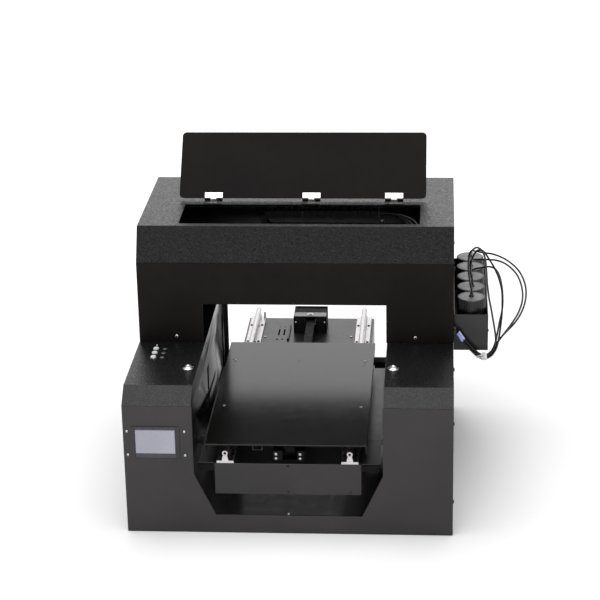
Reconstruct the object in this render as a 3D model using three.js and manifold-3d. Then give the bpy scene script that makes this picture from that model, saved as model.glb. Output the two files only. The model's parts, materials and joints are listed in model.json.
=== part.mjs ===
// Flatbed UV printer: a U-shaped base with two towers, a gantry that carries the print carriage,
// a platform that rises on four lead screws, and a bed that slides on it through the gantry.
// Millimetres. X runs to the right, Y to the back, Z up. The machine is drawn with its front
// panel on y = 0 and its base on z = 0, and the whole model is then moved so that its origin is
// the middle of its footprint.
import * as THREE from 'three';
import { mergeVertices } from 'three/addons/utils/BufferGeometryUtils.js';
import Module from 'manifold-3d';

const wasm = await Module();
wasm.setup();

// ---------------------------------------------------------------- driving dimensions
const SHEET = 2; // steel sheet of the covers
const GAP = 0.3; // clearance between neighbouring pieces
const HALF_WIDTH = 325; // covers, left and right of the middle
const DEPTH = 634; // front panel to rear panel
const PAN_HEIGHT = 34;
const PAN_HALF_WIDTH = 323;

const PANEL_TOP = 274; // top edge of the front panel
const TOWER_TOP = 303;
const TOWER_SLOPE = 38; // depth of the sloped strip over the front panel
const TOWER_INNER = 188.5; // inner edge of the tower covers
const CUTOUT = { half: 187, bottomHalf: 145.5, cornerTop: 128, bottom: 38.8 };

const TROUGH = { half: 188.6, floor: 39, top: 300.5, lip: 20 };
const GANTRY_FRONT = 266;
const GANTRY_TOP = 477;
const GANTRY_OPENING = { left: -190.7, right: 187, top: 386 };
const REAR_OPENING = { half: 180.5, sill: 112, top: 362, left: -154, right: 149, bottom: 39.3 };
const HOOD = { top: 545, slope: 35, wall: 2 };

const HATCH = { left: -241, right: 255, front: 315, rear: 441 };
const LID = { left: -257.5, right: 266.5, depth: 153, thickness: 2.2, corner: 9, openAngle: 131 };
const LID_AXIS = { y: 467, z: 548.6 };
const HINGE = { width: 38, leaf: 21, leafThickness: 1.1, knuckle: 2.4, centres: [-184, 24, 199] };

const PLATFORM = { left: -149, right: 144, front: 23, rear: 813, top: 142, bottom: 75, wall: 2 };
const WING = { half: 181, front: 26, rear: 514, thickness: 2, flange: 15 };
const CROSSBAR = { height: 13.7, depth: 14, half: 213 };
const SCREW = { x: 199, rows: [296, 588], radius: 5, bore: 5.6, bottom: 2.3, top: 300 };
const SCREW_WHEEL = { radius: 14, bottom: 8, top: 19 };
const SLOT = { width: 24, bottom: 42, top: 236 };
const LIFT_MOTOR = { x: -226, y: 442, size: 42, bottom: 24, top: 66, wheel: 14 };
const LIFT_BELT = { bottom: 10, top: 17, thickness: 1.4 };

const RAIL = { centres: [-127, 121], rear: 813, shaft: 6, shaftHeight: 21, baseWidth: 34, baseHeight: 5 };
const BLOCK = { width: 40, length: 42, bottom: 150, rows: [92, 352] };
const BED = { left: -165, right: 155, front: 9, rear: 543, top: 190, thickness: 3, flange: 17 };
const Y_DRIVE = { x: 1.5, y: 760, z: 160, wheel: 12, beltWidth: 19, belt: 1.4, idlerY: 60, shaft: 2.5 };
const Y_MOTOR = { left: -35.4, right: -11, half: 15, shaftEnd: 30 };
const BRACKET = { left: -39, right: 37, front: 719, rear: 782, plate: 3, top: 182, lip: 184.5 };

const BEAM = { half: 320, front: 500, rear: 540, bottom: 420, top: 470 };
const CARRIAGE = { left: 198, right: 314, front: 350, rear: 497, bottom: 352 };
const CHAIN = { left: -84, right: 262, front: 452, depth: 24, bottom: 479, top: 527, link: 15 };

const SCREEN = { x0: -309, x1: -213, z0: 160, z1: 231, windowInset: 3.5 };
const GLASS = { x0: -301, x1: -222, z0: 172, z1: 223 };
const METAL_BUTTONS = { left: [-207, 125], right: [205, 131], radius: 8.2, hole: 9.6 };
const PANEL_BUTTONS = { x: -285, rows: [225, 202.5, 180], radius: 5.8, hole: 6.6 };

const RACK = { left: 325.6, right: 396.3, front: 290, rear: 634, bottom: 279, top: 358, wall: 2 };
const BOTTLE = { x: 362, firstY: 576, pitch: 61.5, radius: 27.5, cap: 29.2, top: 383 };
const GROMMET = { y: 278, z: 328, flange: 10.5, neck: 8.2, bore: 6.5, face: 330.2 };
const TUBE = { radius: 2, sides: 8 };
const INLET = { x: 262, z: 92, width: 48, height: 30 };

// ---------------------------------------------------------------- shape helpers
function box(x0, x1, y0, y1, z0, z1) {
  const geometry = new THREE.BoxGeometry(x1 - x0, y1 - y0, z1 - z0);
  return geometry.translate((x0 + x1) / 2, (y0 + y1) / 2, (z0 + z1) / 2);
}

// An outline swept along one axis. Its points are (y, z) along X, (x, z) along Y, (x, y) along Z.
function prism(axis, outline, from, to) {
  const shape = new THREE.Shape(outline.map(([u, v]) => new THREE.Vector2(u, v)));
  const geometry = new THREE.ExtrudeGeometry(shape, { depth: to - from, bevelEnabled: false });
  const [x, y, z] = [new THREE.Vector3(1, 0, 0), new THREE.Vector3(0, 1, 0), new THREE.Vector3(0, 0, 1)];
  if (axis === 'x') {
    geometry.applyMatrix4(new THREE.Matrix4().makeBasis(y, z, x)).translate(from, 0, 0);
  } else if (axis === 'y') {
    geometry.applyMatrix4(new THREE.Matrix4().makeBasis(x, z, y.clone().negate())).translate(0, to, 0);
  } else {
    geometry.translate(0, 0, from);
  }
  return geometry;
}

// A round bar along one axis, with its middle at the other two coordinates.
function rod(axis, [a, b], radius, from, to, sides = 24) {
  const geometry = new THREE.CylinderGeometry(radius, radius, to - from, sides);
  const middle = (from + to) / 2;
  if (axis === 'x') return geometry.rotateZ(-Math.PI / 2).translate(middle, a, b);
  if (axis === 'y') return geometry.translate(a, middle, b);
  return geometry.rotateX(Math.PI / 2).translate(a, b, middle);
}

// A shape turned about a vertical axis through the origin, from (radius, height) points.
function turned(profile, sides = 24) {
  const points = profile.map(([radius, height]) => new THREE.Vector2(radius, height));
  return new THREE.LatheGeometry(points, sides).rotateX(Math.PI / 2);
}

function arc([u, v], radius, fromDegrees, toDegrees, steps = 4) {
  return Array.from({ length: steps + 1 }, (_, i) => {
    const angle = THREE.MathUtils.degToRad(fromDegrees + ((toDegrees - fromDegrees) * i) / steps);
    return [u + radius * Math.cos(angle), v + radius * Math.sin(angle)];
  });
}

function roundedRectangle(u0, u1, v0, v1, radius) {
  return [
    ...arc([u0 + radius, v0 + radius], radius, 180, 270),
    ...arc([u1 - radius, v0 + radius], radius, 270, 360),
    ...arc([u1 - radius, v1 - radius], radius, 0, 90),
    ...arc([u0 + radius, v1 - radius], radius, 90, 180),
  ];
}

// The outline of a belt's face round equal wheels, which are listed counter-clockwise.
function beltOutline(wheels, radius, steps = 6) {
  const count = wheels.length;
  const heading = (from, to) => Math.atan2(to[1] - from[1], to[0] - from[0]);
  return wheels.flatMap((wheel, i) => {
    const arriving = heading(wheels[(i + count - 1) % count], wheel);
    const turn = (heading(wheel, wheels[(i + 1) % count]) - arriving + 4 * Math.PI) % (2 * Math.PI);
    const start = THREE.MathUtils.radToDeg(arriving) - 90;
    return arc(wheel, radius, start, start + THREE.MathUtils.radToDeg(turn), steps);
  });
}

function toSolid(geometry) {
  const bare = geometry.clone();
  bare.deleteAttribute('normal');
  bare.deleteAttribute('uv');
  const merged = mergeVertices(bare, 1e-4);
  return new wasm.Manifold(new wasm.Mesh({
    numProp: 3,
    vertProperties: merged.attributes.position.array,
    triVerts: new Uint32Array(merged.index.array),
  }));
}

function toGeometry(solid) {
  const { vertProperties, triVerts } = solid.getMesh();
  const geometry = new THREE.BufferGeometry();
  geometry.setAttribute('position', new THREE.BufferAttribute(vertProperties, 3));
  geometry.setIndex(new THREE.BufferAttribute(triVerts, 1));
  return geometry;
}

function join(...geometries) {
  return toGeometry(geometries.map(toSolid).reduce((whole, next) => whole.add(next)));
}

function cut(geometry, ...tools) {
  return toGeometry(tools.map(toSolid).reduce((rest, tool) => rest.subtract(tool), toSolid(geometry)));
}

// ---------------------------------------------------------------- finishes
const FINISH = {
  smoothBlack: [0x332f30, 0.42, 0.3],
  wrinkleBlack: [0x1c1c1e, 0.62, 0.2],
  plateBlack: [0x1c1615, 0.4, 0.3],
  bedGrey: [0x55555a, 0.5, 0.5],
  aluminium: [0xd8dade, 0.3, 0.9],
  steel: [0xb9bcc2, 0.3, 0.95],
  chrome: [0xe6e8ec, 0.12, 1],
  plasticBlack: [0x17171a, 0.5, 0],
  bottleBlack: [0x232326, 0.45, 0],
  rubber: [0x101012, 0.8, 0],
  screenGrey: [0xa9a9b6, 0.25, 0],
  motorBlack: [0x1a1a1d, 0.45, 0.4],
  headGrey: [0x8d9096, 0.4, 0.6],
};

const machine = new THREE.Group();

function add(name, finish, geometry, place = [0, 0, 0], parent = machine) {
  const [color, roughness, metalness] = FINISH[finish];
  const mesh = new THREE.Mesh(geometry, new THREE.MeshStandardMaterial({ color, roughness, metalness }));
  mesh.name = name;
  mesh.position.set(...place);
  parent.add(mesh);
  return mesh;
}

// ---------------------------------------------------------------- base
function addBase() {
  const front = SHEET + GAP;
  const rear = DEPTH - SHEET - GAP;
  const inner = PAN_HALF_WIDTH - SHEET;
  const panTop = PAN_HEIGHT - GAP;
  add('base_pan', 'smoothBlack', cut(
    box(-PAN_HALF_WIDTH, PAN_HALF_WIDTH, front, rear, 0, panTop),
    box(-inner, inner, front + SHEET, rear - SHEET, SHEET, PAN_HEIGHT),
  ));

  // U-shaped front panel with the screen's window
  const { half, bottomHalf, cornerTop, bottom } = CUTOUT;
  const panel = prism('y', [
    [-HALF_WIDTH, 0], [HALF_WIDTH, 0], [HALF_WIDTH, PANEL_TOP], [half, PANEL_TOP], [half, cornerTop],
    [bottomHalf, bottom], [-bottomHalf, bottom], [-half, cornerTop], [-half, PANEL_TOP],
    [-HALF_WIDTH, PANEL_TOP],
  ], 0, SHEET);
  const inset = SCREEN.windowInset;
  const windowCut = box(
    SCREEN.x0 + inset, SCREEN.x1 - inset, -1, SHEET + 1, SCREEN.z0 + inset, SCREEN.z1 - inset,
  );
  add('front_panel', 'smoothBlack', cut(panel, windowCut));

  // side covers follow the towers at the front and the gantry behind
  const slope = (TOWER_TOP - PANEL_TOP) / TOWER_SLOPE;
  const drop = (SHEET + GAP) * Math.hypot(1, slope); // vertical drop below the sloped strip
  const shoulder = TOWER_TOP - SHEET - GAP;
  const gantry = GANTRY_FRONT + SHEET + GAP;
  const outline = [
    [front, PAN_HEIGHT], [rear + GAP + SHEET, PAN_HEIGHT], [rear + GAP + SHEET, GANTRY_TOP - GAP],
    [gantry, GANTRY_TOP - GAP], [gantry, shoulder],
    [(shoulder + drop - PANEL_TOP) / slope, shoulder], [front, PANEL_TOP - drop + slope * front],
  ];
  const side = prism('x', outline, 0, SHEET);
  add('left_side_cover', 'wrinkleBlack', side, [-HALF_WIDTH, 0, 0]);
  const tubeHole = rod('x', [GROMMET.y, GROMMET.z], GROMMET.bore + GAP, -1, SHEET + 1);
  add('right_side_cover', 'wrinkleBlack', cut(side, tubeHole), [HALF_WIDTH - SHEET, 0, 0]);

  // trough: two inner walls and a floor, with slots for the crossbars and a bearing lip on top
  const outer = TROUGH.half + SHEET;
  const floorBottom = TROUGH.floor - SHEET;
  const lipFront = GANTRY_FRONT + SHEET;
  const wall = [
    [front, floorBottom], [rear, floorBottom], [rear, TROUGH.top],
    [(shoulder + drop - PANEL_TOP) / slope, TROUGH.top], [front, PANEL_TOP - drop + slope * front],
  ];
  let trough = cut(
    prism('x', wall, -outer, outer),
    box(-TROUGH.half, TROUGH.half, front - 1, rear + 1, TROUGH.floor, TROUGH.top + 1),
  );
  const lips = [-1, 1].map((sign) => {
    const edges = [sign * (outer - SHEET), sign * (outer + TROUGH.lip)].sort((a, b) => a - b);
    return box(...edges, lipFront, rear, TROUGH.top - SHEET, TROUGH.top);
  });
  trough = join(trough, ...lips);
  for (const y of SCREW.rows) {
    const halfSlot = SLOT.width / 2;
    trough = cut(
      trough,
      box(-outer - 1, outer + 1, y - halfSlot, y + halfSlot, SLOT.bottom, SLOT.top),
      rod('z', [-SCREW.x, y], SCREW.bore, TROUGH.top - SHEET - 1, TROUGH.top + 1, 16),
      rod('z', [SCREW.x, y], SCREW.bore, TROUGH.top - SHEET - 1, TROUGH.top + 1, 16),
    );
  }
  add('trough_liner', 'smoothBlack', trough);
}

// A tower cover is one bent sheet: the sloped strip and the flat top.
function addTowerCovers() {
  const slopeAngle = Math.atan2(TOWER_TOP - PANEL_TOP, TOWER_SLOPE);
  const under = TOWER_TOP - SHEET;
  const lowerFront = [SHEET / Math.sin(slopeAngle), PANEL_TOP + GAP];
  const bend = TOWER_SLOPE + SHEET * Math.tan(slopeAngle / 2);
  const profile = [
    [0, PANEL_TOP + GAP], lowerFront, [bend, under],
    [GANTRY_FRONT + SHEET, under], [GANTRY_FRONT + SHEET, TOWER_TOP], [TOWER_SLOPE, TOWER_TOP],
  ];
  const buttonHole = ([x, y], radius) => rod('z', [x, y], radius, under - 1, TOWER_TOP + 1);
  add('left_tower_cover', 'wrinkleBlack', cut(
    prism('x', profile, -HALF_WIDTH, -TOWER_INNER),
    buttonHole(METAL_BUTTONS.left, METAL_BUTTONS.hole),
    ...PANEL_BUTTONS.rows.map((y) => buttonHole([PANEL_BUTTONS.x, y], PANEL_BUTTONS.hole)),
  ));
  add('right_tower_cover', 'wrinkleBlack', cut(
    prism('x', profile, TOWER_INNER, HALF_WIDTH),
    buttonHole(METAL_BUTTONS.right, METAL_BUTTONS.hole),
  ));
}

// ---------------------------------------------------------------- gantry and hood
function addGantry() {
  const { left, right, top } = GANTRY_OPENING;
  const bottom = TOWER_TOP + GAP;
  const plateTop = GANTRY_TOP - GAP;
  add('gantry_front_plate', 'plateBlack', prism('y', [
    [-HALF_WIDTH, bottom], [left, bottom], [left, top], [right, top], [right, bottom],
    [HALF_WIDTH, bottom], [HALF_WIDTH, plateTop], [-HALF_WIDTH, plateTop],
  ], GANTRY_FRONT, GANTRY_FRONT + SHEET));

  const half = HALF_WIDTH - SHEET - GAP;
  const rear = cut(
    box(-half, half, DEPTH - SHEET, DEPTH, PAN_HEIGHT, plateTop),
    box(-REAR_OPENING.half, REAR_OPENING.half, DEPTH - SHEET - 1, DEPTH + 1,
      REAR_OPENING.sill, REAR_OPENING.top),
    box(REAR_OPENING.left, REAR_OPENING.right, DEPTH - SHEET - 1, DEPTH + 1,
      REAR_OPENING.bottom, REAR_OPENING.sill + 1),
    box(INLET.x - INLET.width / 2, INLET.x + INLET.width / 2, DEPTH - SHEET - 1, DEPTH + 1,
      INLET.z - INLET.height / 2, INLET.z + INLET.height / 2),
  );
  add('rear_panel', 'smoothBlack', rear);

  const profile = [
    [GANTRY_FRONT, GANTRY_TOP], [DEPTH, GANTRY_TOP], [DEPTH, HOOD.top],
    [GANTRY_FRONT + HOOD.slope, HOOD.top],
  ];
  const lean = HOOD.wall * Math.hypot(1, HOOD.slope / (HOOD.top - GANTRY_TOP));
  const ceiling = HOOD.top - HOOD.wall;
  const run = HOOD.slope / (HOOD.top - GANTRY_TOP);
  const hollow = [
    [GANTRY_FRONT + lean - run, GANTRY_TOP - 1], [DEPTH - HOOD.wall, GANTRY_TOP - 1],
    [DEPTH - HOOD.wall, ceiling], [GANTRY_FRONT + HOOD.slope + lean - run * HOOD.wall, ceiling],
  ];
  add('hood_cover', 'wrinkleBlack', cut(
    prism('x', profile, -HALF_WIDTH, HALF_WIDTH),
    prism('x', hollow, -HALF_WIDTH + HOOD.wall, HALF_WIDTH - HOOD.wall),
    box(HATCH.left, HATCH.right, HATCH.front, HATCH.rear, ceiling - 1, HOOD.top + 1),
  ));
}

// The hatch lid stands open. It is drawn closed, about its hinge axis, and then swung back.
function addHatch() {
  const { knuckle, leaf, leafThickness, width } = HINGE;
  const underside = knuckle - 1.6; // lid's underside over the hinge axis when closed
  const lidRear = -knuckle - 0.6;
  const centres = HINGE.centres;
  let lid = prism('z', roundedRectangle(
    LID.left, LID.right, lidRear - LID.depth, lidRear, LID.corner,
  ), underside, underside + LID.thickness);
  const middle = width / 6;
  for (const x of centres) {
    const tongue = box(x - middle, x + middle, lidRear - 4, 0, underside, underside + 1.6);
    lid = join(lid, tongue, rod('x', [0, 0], knuckle, x - middle, x + middle, 12));
  }
  const swing = new THREE.Group();
  swing.position.set(0, LID_AXIS.y, LID_AXIS.z);
  swing.rotation.x = THREE.MathUtils.degToRad(-LID.openAngle);
  machine.add(swing);
  add('hatch_lid', 'plateBlack', lid, [0, 0, 0], swing);

  const leafTop = HOOD.top + GAP + leafThickness - LID_AXIS.z;
  const leafBottom = leafTop - leafThickness;
  centres.forEach((x, index) => {
    const clear = middle + 0.5;
    const flat = box(x - width / 2, x + width / 2, -leaf - knuckle, -knuckle - 0.9, leafBottom, leafTop);
    const outer = [[x - width / 2, x - clear], [x + clear, x + width / 2]].map(([from, to]) => join(
      rod('x', [0, 0], knuckle, from, to, 12),
      box(from, to, -knuckle - 1.2, -0.4, leafBottom, leafTop),
    ));
    add(`hinge_base_${index + 1}`, 'chrome', join(flat, ...outer), [0, LID_AXIS.y, LID_AXIS.z]);
  });
}

// ---------------------------------------------------------------- lift platform
function addPlatform() {
  const { left, right, front, rear, top, bottom, wall } = PLATFORM;
  const plateUnder = top - wall;
  const table = join(
    cut(
      box(left, right, front, rear, bottom, top),
      box(left + wall, right - wall, front + wall, rear - wall, bottom - 1, plateUnder),
    ),
    box(-WING.half, WING.half, WING.front, WING.rear, top - WING.thickness, top),
    box(-WING.half, left + wall, WING.front, WING.front + WING.thickness, top - WING.flange, top),
    box(right - wall, WING.half, WING.front, WING.front + WING.thickness, top - WING.flange, top),
  );
  add('lift_table', 'smoothBlack', table);

  // supported round rails: a shaft on a flanged foot
  const { shaft, shaftHeight, baseWidth, baseHeight } = RAIL;
  const half = baseWidth / 2;
  const railOutline = [
    [-half, 0], [half, 0], [half, baseHeight], [7, baseHeight], [3.2, 12],
    ...arc([0, shaftHeight], shaft, -55, 235, 12),
    [-3.2, 12], [-7, baseHeight], [-half, baseHeight],
  ];
  ['left', 'right'].forEach((side, index) => {
    const rail = prism('y', railOutline, front, RAIL.rear);
    add(`bed_rail_${side}`, 'aluminium', rail, [RAIL.centres[index], 0, top + GAP]);
  });

  // crossbars carry the table and hold the four nuts
  const barTop = bottom - GAP;
  ['front', 'rear'].forEach((row, index) => {
    const y = SCREW.rows[index];
    const half = CROSSBAR.depth / 2;
    const bar = box(-CROSSBAR.half, CROSSBAR.half, y - half, y + half, barTop - CROSSBAR.height, barTop);
    const bores = [-SCREW.x, SCREW.x].map(
      (x) => rod('z', [x, y], SCREW.bore, barTop - CROSSBAR.height - 1, barTop + 1, 16),
    );
    add(`${row}_crossbar`, 'steel', cut(bar, ...bores));
  });
}

function addLeadScrews() {
  const { radius, bottom, top } = SCREW_WHEEL;
  const profile = [
    [0, SCREW.bottom], [SCREW.radius, SCREW.bottom], [SCREW.radius, bottom], [radius, bottom],
    [radius, top], [SCREW.radius, top], [SCREW.radius, SCREW.top], [0, SCREW.top],
  ];
  const wheels = [];
  SCREW.rows.forEach((y, row) => [-1, 1].forEach((sign) => {
    const name = `lead_screw_${row ? 'rear' : 'front'}_${sign < 0 ? 'left' : 'right'}`;
    add(name, 'steel', turned(profile, 16), [sign * SCREW.x, y, 0]);
    wheels.push([sign * SCREW.x, y]);
  }));

  const [frontLeft, frontRight, rearLeft, rearRight] = wheels;
  const loop = [frontLeft, frontRight, rearRight, rearLeft, [LIFT_MOTOR.x, LIFT_MOTOR.y]];
  const inside = radius + GAP;
  add('lift_belt', 'rubber', cut(
    prism('z', beltOutline(loop, inside + LIFT_BELT.thickness), LIFT_BELT.bottom, LIFT_BELT.top),
    prism('z', beltOutline(loop, inside), LIFT_BELT.bottom - 1, LIFT_BELT.top + 1),
  ));

  const { x, y, size, wheel } = LIFT_MOTOR;
  add('lift_motor', 'motorBlack', join(
    box(x - size / 2, x + size / 2, y - size / 2, y + size / 2, LIFT_MOTOR.bottom, LIFT_MOTOR.top),
    rod('z', [x, y], 2.5, LIFT_BELT.top - 1, LIFT_MOTOR.bottom + 1, 12),
    rod('z', [x, y], wheel, bottom, LIFT_BELT.top, 16),
  ));
}

// ---------------------------------------------------------------- sliding bed and its drive
function addBed() {
  const { left, right, front, rear, top, thickness, flange } = BED;
  const skirt = top - flange;
  add('bed_plate', 'bedGrey', join(
    box(left, right, front, rear, top - thickness, top),
    box(left, left + SHEET, front, rear, skirt, top),
    box(right - SHEET, right, front, rear, skirt, top),
  ));

  const shaftZ = PLATFORM.top + GAP + RAIL.shaftHeight;
  const bore = RAIL.shaft + 0.6;
  const blockTop = top - thickness - GAP;
  const half = BLOCK.width / 2;
  const outline = [
    [-half, BLOCK.bottom + 2], [-half + 2, BLOCK.bottom], [-6.5, BLOCK.bottom],
    ...arc([0, shaftZ], bore, 235, -55, 12),
    [6.5, BLOCK.bottom], [half - 2, BLOCK.bottom], [half, BLOCK.bottom + 2], [half, blockTop],
    [-half, blockTop],
  ];
  BLOCK.rows.forEach((y, row) => RAIL.centres.forEach((x, side) => {
    const name = `bearing_block_${row ? 'rear' : 'front'}_${side ? 'right' : 'left'}`;
    add(name, 'aluminium', prism('y', outline, -BLOCK.length / 2, BLOCK.length / 2), [x, y, 0]);
  }));

  const { x, y, z, wheel, beltWidth, belt, idlerY } = Y_DRIVE;
  const wheels = [[idlerY, z], [y, z]];
  const inside = wheel + GAP;
  add('bed_belt', 'rubber', cut(
    prism('x', beltOutline(wheels, inside + belt, 12), x - beltWidth / 2, x + beltWidth / 2),
    prism('x', beltOutline(wheels, inside, 12), x - beltWidth, x + beltWidth),
  ));
  const shaftEnds = [Y_MOTOR.right - 1, Y_MOTOR.shaftEnd];
  const clearShaft = Y_DRIVE.shaft + 0.5;
  add('bed_drive_pulley', 'aluminium', cut(
    rod('x', [y, z], wheel, x - beltWidth / 2 + 0.5, x + beltWidth / 2 - 0.5, 20),
    rod('x', [y, z], clearShaft, shaftEnds[0], shaftEnds[1], 12),
  ));
  const motorHalf = Y_MOTOR.half;
  add('bed_motor', 'motorBlack', join(
    box(Y_MOTOR.left, Y_MOTOR.right, y - motorHalf, y + motorHalf, z - motorHalf, z + motorHalf),
    rod('x', [y, z], Y_DRIVE.shaft, ...shaftEnds, 12),
  ));

  // two cheeks, a top plate that reaches ahead of them over the belt, and a back plate with a lip
  const b = BRACKET;
  const floor = PLATFORM.top + GAP;
  add('bed_motor_bracket', 'motorBlack', join(
    box(b.left, b.left + b.plate, b.front, b.rear, floor, b.top),
    box(b.right - b.plate, b.right, b.front, b.rear, floor, b.top),
    box(b.left, b.right, b.rear - b.plate, b.rear, floor, b.lip),
    box(b.left, b.right, b.front, b.rear, b.top - b.plate, b.top),
  ));
}

// ---------------------------------------------------------------- print carriage
function addCarriage() {
  const { half, front, rear, bottom, top } = BEAM;
  const railDepth = 8;
  add('carriage_beam', 'aluminium', join(
    box(-half, half, front, rear, bottom, top),
    box(-half + 10, half - 10, front - railDepth, front + 1, bottom + 18, bottom + 30),
  ));
  add('carriage_motor', 'motorBlack', join(
    box(-312, -270, front + 5, front + 47, top + GAP, top + 42),
    rod('y', [-291, top + 21], 2.5, front - 12, front + 6, 12),
  ));

  const back = front - railDepth - GAP;
  const c = CARRIAGE;
  add('carriage', 'aluminium', join(
    box(c.left, c.right, back - 8, back, c.bottom + 20, top - 2),
    box(c.left, c.right, c.front + 8, back - 7, top - 12, top - 2),
    box(c.left, c.left + 4, c.front + 8, back - 7, top - 60, top - 2),
    box(c.right - 4, c.right, c.front + 8, back - 7, top - 60, top - 2),
  ));
  const headRight = c.left + 66;
  const ceiling = top - 12 - GAP;
  const innerLeft = c.left + 4 + GAP;
  const innerRight = c.right - 4 - GAP;
  add('print_head', 'headGrey', join(
    box(innerLeft, headRight, c.front + 14, back - 12, c.bottom + 10, ceiling),
    box(innerLeft + 8, headRight - 8, c.front + 26, back - 30, c.bottom, c.bottom + 11),
  ));
  add('uv_lamp', 'aluminium', join(
    box(headRight + 4, innerRight, c.front + 14, back - 12, c.bottom + 8, ceiling),
    box(headRight + 8, innerRight - 4, c.front + 22, back - 20, c.bottom + 4, c.bottom + 9),
  ));

  // cable chain: two runs joined by a bend at the left
  const middle = (CHAIN.bottom + CHAIN.top) / 2;
  const bendOuter = (CHAIN.top - CHAIN.bottom) / 2;
  const bendX = CHAIN.left + bendOuter;
  const u = (radius, end) => [
    [end, middle + radius], ...arc([bendX, middle], radius, 90, 270, 10), [end, middle - radius],
  ];
  add('cable_chain', 'plasticBlack', cut(
    prism('y', u(bendOuter, CHAIN.right), CHAIN.front, CHAIN.front + CHAIN.depth),
    prism('y', u(bendOuter - CHAIN.link, CHAIN.right + 1), CHAIN.front - 1, CHAIN.front + CHAIN.depth + 1),
  ));
}

// ---------------------------------------------------------------- controls
function addControls() {
  const { x0, x1, z0, z1, windowInset } = SCREEN;
  const fit = windowInset + GAP;
  const flangeFront = -1.5;
  const backFace = 7;
  add('screen_bezel', 'plasticBlack', cut(
    join(
      box(x0, x1, flangeFront, -GAP, z0, z1),
      box(x0 + fit, x1 - fit, -GAP - 0.5, backFace, z0 + fit, z1 - fit),
    ),
    box(GLASS.x0, GLASS.x1, flangeFront - 1, backFace + 1, GLASS.z0, GLASS.z1),
  ));
  add('screen_glass', 'screenGrey', box(
    GLASS.x0 + GAP, GLASS.x1 - GAP, 0.4, 5, GLASS.z0 + GAP, GLASS.z1 - GAP,
  ));

  // metal push buttons: a domed plunger in each tower cover
  const { radius } = METAL_BUTTONS;
  const plunger = turned([
    [0, -15], [radius - 2, -15], [radius - 2, -4], [radius, -4], [radius, 3],
    [radius * 0.8, 4.4], [radius * 0.45, 5.2], [0, 5.5],
  ]);
  add('push_button_left', 'chrome', plunger, [...METAL_BUTTONS.left, TOWER_TOP]);
  add('push_button_right', 'chrome', plunger.clone(), [...METAL_BUTTONS.right, TOWER_TOP]);

  const key = turned([
    [0, -6], [PANEL_BUTTONS.radius, -6], [PANEL_BUTTONS.radius, 1.6],
    [PANEL_BUTTONS.radius - 1, 2.3], [0, 2.5],
  ]);
  PANEL_BUTTONS.rows.forEach((y, index) => {
    add(`panel_button_${index + 1}`, 'steel', key.clone(), [PANEL_BUTTONS.x, y, TOWER_TOP]);
  });

  const { x, z, width, height } = INLET;
  add('power_inlet', 'plasticBlack', cut(
    join(
      box(x - width / 2 - 3, x + width / 2 + 3, DEPTH + GAP, DEPTH + 2.6, z - height / 2 - 3, z + height / 2 + 3),
      box(x - width / 2 + 1, x + width / 2 - 1, DEPTH - 24, DEPTH + 1, z - height / 2 + 1, z + height / 2 - 1),
    ),
    box(x - 12, x + 12, DEPTH - 16, DEPTH + 4, z - 8, z + 8),
  ));
}

// ---------------------------------------------------------------- ink rack, bottles and tubes
const bottleY = (index) => BOTTLE.firstY - index * BOTTLE.pitch;

function addInkRack() {
  const { left, right, front, rear, bottom, top, wall } = RACK;
  add('ink_rack', 'smoothBlack', cut(
    box(left, right, front, rear, bottom, top),
    box(left + wall, right - wall, front + wall, rear - wall, bottom + wall, top + 1),
  ));

  const base = bottom + wall + GAP;
  const { radius, cap } = BOTTLE;
  const height = BOTTLE.top - base;
  const shoulder = height - 34;
  const bottle = turned([
    [0, 0], [radius - 2, 0], [radius, 2], [radius, shoulder], [radius - 4, shoulder + 5],
    [radius - 4, shoulder + 9], [cap, shoulder + 9], [cap, height - 1.5], [cap - 1.5, height], [0, height],
  ], 32);
  for (let i = 0; i < 5; i += 1) {
    add(`ink_bottle_${i + 1}`, 'bottleBlack', bottle.clone(), [BOTTLE.x, bottleY(i), base]);
  }

  const { y, z, flange, neck, bore, face } = GROMMET;
  add('tube_grommet', 'rubber', join(
    rod('x', [y, z], bore, HALF_WIDTH - SHEET - 4, HALF_WIDTH + 1, 20),
    rod('x', [y, z], flange, HALF_WIDTH + GAP, HALF_WIDTH + 2.3, 20),
    rod('x', [y, z], neck, HALF_WIDTH + 2, face, 20),
  ));
}

// Each ink tube rises from its bottle's cap, loops over to the right, and joins the bundle that
// goes back into the machine. The loose part of each route is its own list of points.
const LOOPS = [
  [
    [362, 576, 391], [365, 573, 397], [375, 564, 399], [390, 547, 402], [408, 520, 409], [428, 490, 412],
    [445, 461, 411], [462, 430, 404], [473, 398, 391], [476, 368, 375], [470, 339, 356], [455, 312, 337],
  ],
  [
    [362, 515, 391], [365, 513, 397], [374, 507, 401], [388, 496, 405], [402, 480, 410], [415, 463, 415],
    [431, 444, 416], [446, 423, 412], [459, 400, 403], [467, 376, 387], [468, 350, 370], [460, 325, 352],
    [444, 300, 334],
  ],
  [
    [362, 453, 391], [365, 451, 397], [373, 446, 402], [382, 440, 406], [392, 432, 411], [402, 422, 415],
    [412, 410, 415], [420, 395, 407], [425, 374, 393], [427, 352, 376], [426, 330, 356], [420, 308, 335],
  ],
  [
    [364, 392, 398], [361, 385, 416], [361, 377, 438], [366, 368, 459], [374, 361, 473], [385, 355, 474],
    [396, 348, 461], [408, 340, 443], [418, 331, 422], [424, 321, 399], [425, 310, 375], [424, 299, 352],
  ],
  [
    [362, 330, 397], [358, 325, 420], [355, 320, 448], [356, 315, 473], [362, 313, 490], [371, 311, 497],
    [381, 309, 492], [388, 307, 476], [391, 303, 454], [393, 298, 426], [397, 292, 395], [403, 287, 365],
  ],
];
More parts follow.
